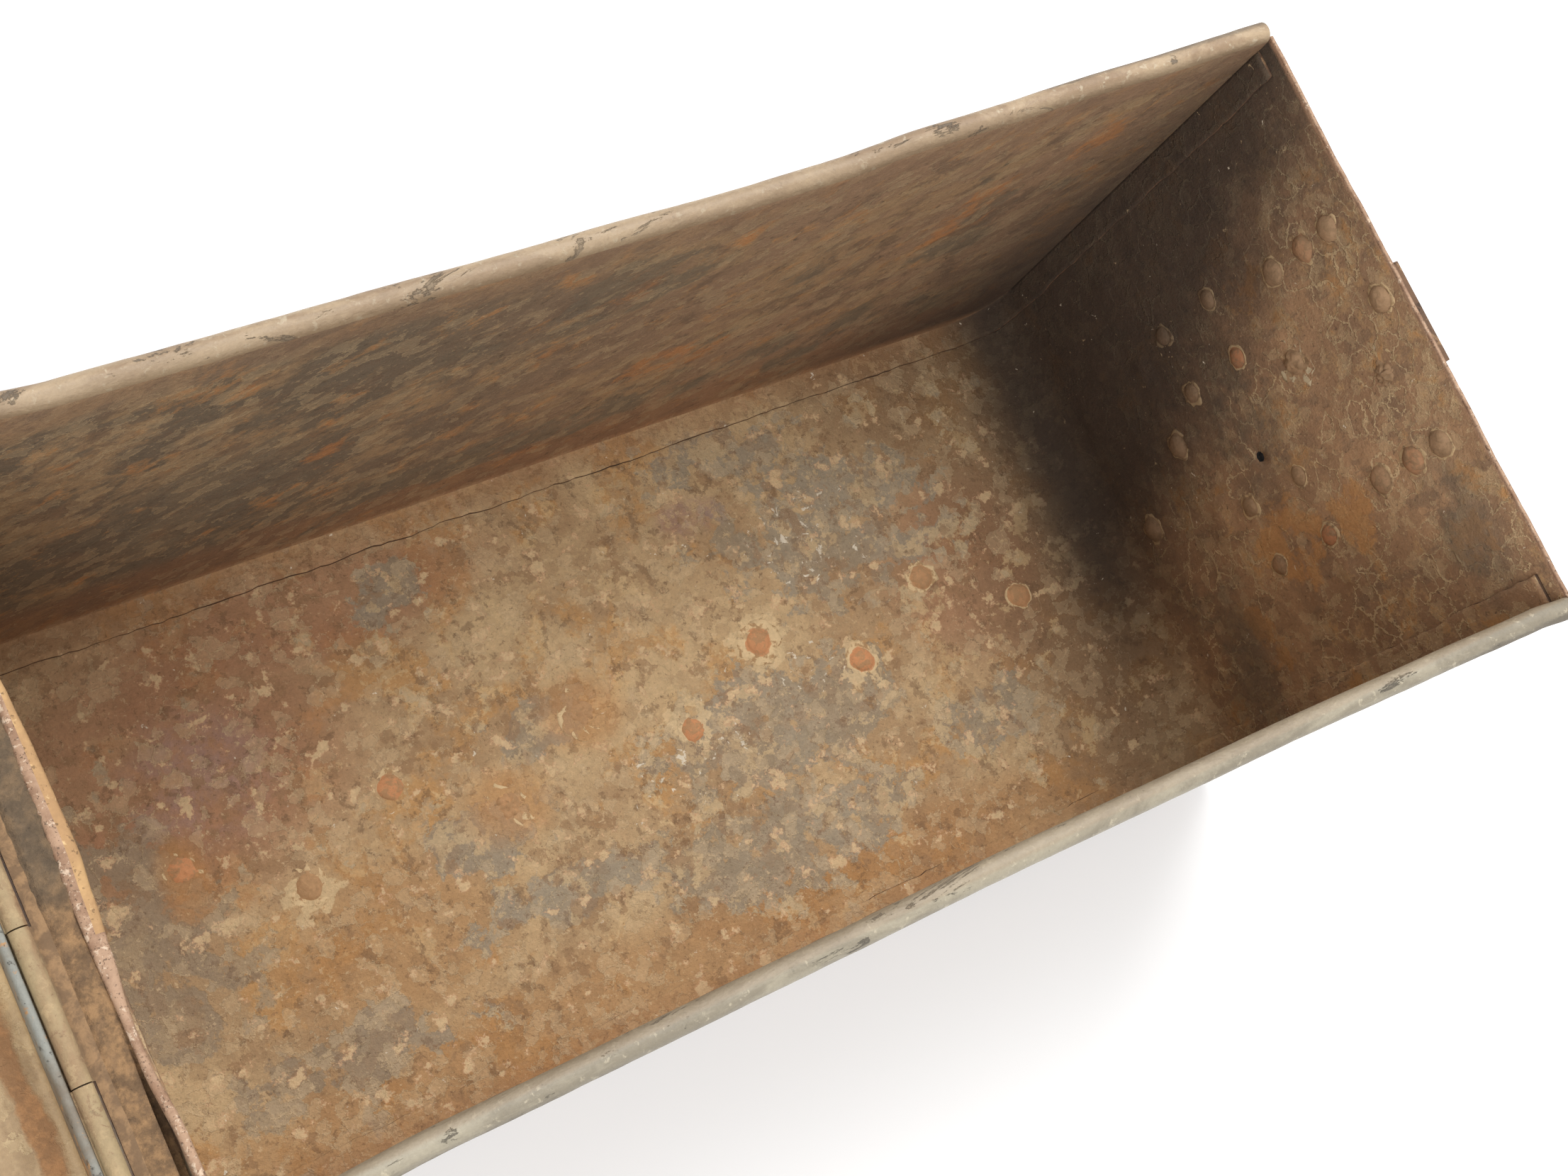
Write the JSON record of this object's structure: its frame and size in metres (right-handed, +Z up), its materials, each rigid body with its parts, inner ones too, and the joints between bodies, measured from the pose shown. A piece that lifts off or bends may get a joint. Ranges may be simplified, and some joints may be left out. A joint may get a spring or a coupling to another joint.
{
  "type": "metal tool box",
  "caption": "Rectangular sheet steel tool box with wired rims, a riveted centre strap, an end-hinged lid lying open, draw latches and drop handles.",
  "frame": {"origin": "centre of the flat rest face under the centre strap", "axes": "+X along the length from the hinged end to the latch end, +Y across the box to the back panel, +Z up"},
  "size_m": [0.9898, 0.2316, 0.2237],
  "materials": {
    "rusted_sheet": "bare steel, rusted all over, rough and matt",
    "rusty_painted_sheet": "worn cream and brown paint with rust breaking through",
    "rim_wire": "worn steel wire, dull",
    "rusted_fittings": "forged and pressed steel, rusted brown"
  },
  "bodies": {
    "box": {"wrap_sheet": "rusted_sheet", "front_side_panel": "rusty_painted_sheet", "back_side_panel": "rusty_painted_sheet", "front_rim_wire": "rim_wire", "back_rim_wire": "rim_wire", "centre_strap": "rusted_sheet", "strap_rivets": "rusted_sheet", "hinge_body_leaf": "rusted_sheet", "hinge_pin": "rusted_sheet", "hinge_spacers": "rusted_sheet", "hinge_body_rivets": "rusted_sheet", "latch_base_front": "rusted_fittings", "latch_base_back": "rusted_fittings", "latch_pin_front": "rusted_fittings", "latch_pin_back": "rusted_fittings", "latch_rivets": "rusted_sheet", "latch_end_bracket_front": "rusted_fittings", "latch_end_bracket_back": "rusted_fittings", "hinge_end_bracket_front": "rusted_fittings", "hinge_end_bracket_back": "rusted_fittings", "bracket_rivets": "rusted_sheet"},
    "lid": {"lid_pan": "rusty_painted_sheet", "hinge_lid_leaf": "rusted_sheet", "hinge_lid_rivets": "rusted_sheet", "catch_front": "rusted_fittings", "catch_back": "rusted_fittings", "catch_rivets": "rusted_sheet"},
    "lever_front": {"latch_lever_front": "rusted_fittings"},
    "lever_back": {"latch_lever_back": "rusted_fittings"},
    "loop_front": {"latch_loop_front": "rusted_fittings"},
    "loop_back": {"latch_loop_back": "rusted_fittings"},
    "latch_end_handle": {"latch_end_bail": "rusted_fittings"},
    "hinge_end_handle": {"hinge_end_bail": "rusted_fittings"}
  },
  "joints": [
    {"name": "lid_hinge", "type": "hinge", "parent": "box", "child": "lid", "pos_m": [-0.2484, 0, 0.2211], "axis": [0, 1, 0], "range_deg": [0, 180]},
    {"name": "lever_front_pivot", "type": "hinge", "parent": "box", "child": "lever_front", "pos_m": [0.2396, -0.0413, 0.1947], "axis": [0, 1, 0], "range_deg": [-150, 0]},
    {"name": "loop_front_pivot", "type": "hinge", "parent": "lever_front", "child": "loop_front", "pos_m": [0.2396, -0.0413, 0.1857], "axis": [0, -1, 0], "range_deg": [0, 176.5]},
    {"name": "lever_back_pivot", "type": "hinge", "parent": "box", "child": "lever_back", "pos_m": [0.2396, 0.0413, 0.1947], "axis": [0, 1, 0], "range_deg": [-150, 0]},
    {"name": "loop_back_pivot", "type": "hinge", "parent": "lever_back", "child": "loop_back", "pos_m": [0.2396, 0.0413, 0.1857], "axis": [0, -1, 0], "range_deg": [0, 176.5]},
    {"name": "latch_end_handle_swing", "type": "hinge", "parent": "box", "child": "latch_end_handle", "pos_m": [0.2416, 0, 0.1147], "axis": [0, -1, 0], "range_deg": [0, 140]},
    {"name": "hinge_end_handle_swing", "type": "hinge", "parent": "box", "child": "hinge_end_handle", "pos_m": [-0.2416, 0, 0.1147], "axis": [0, 1, 0], "range_deg": [0, 140]}
  ]
}
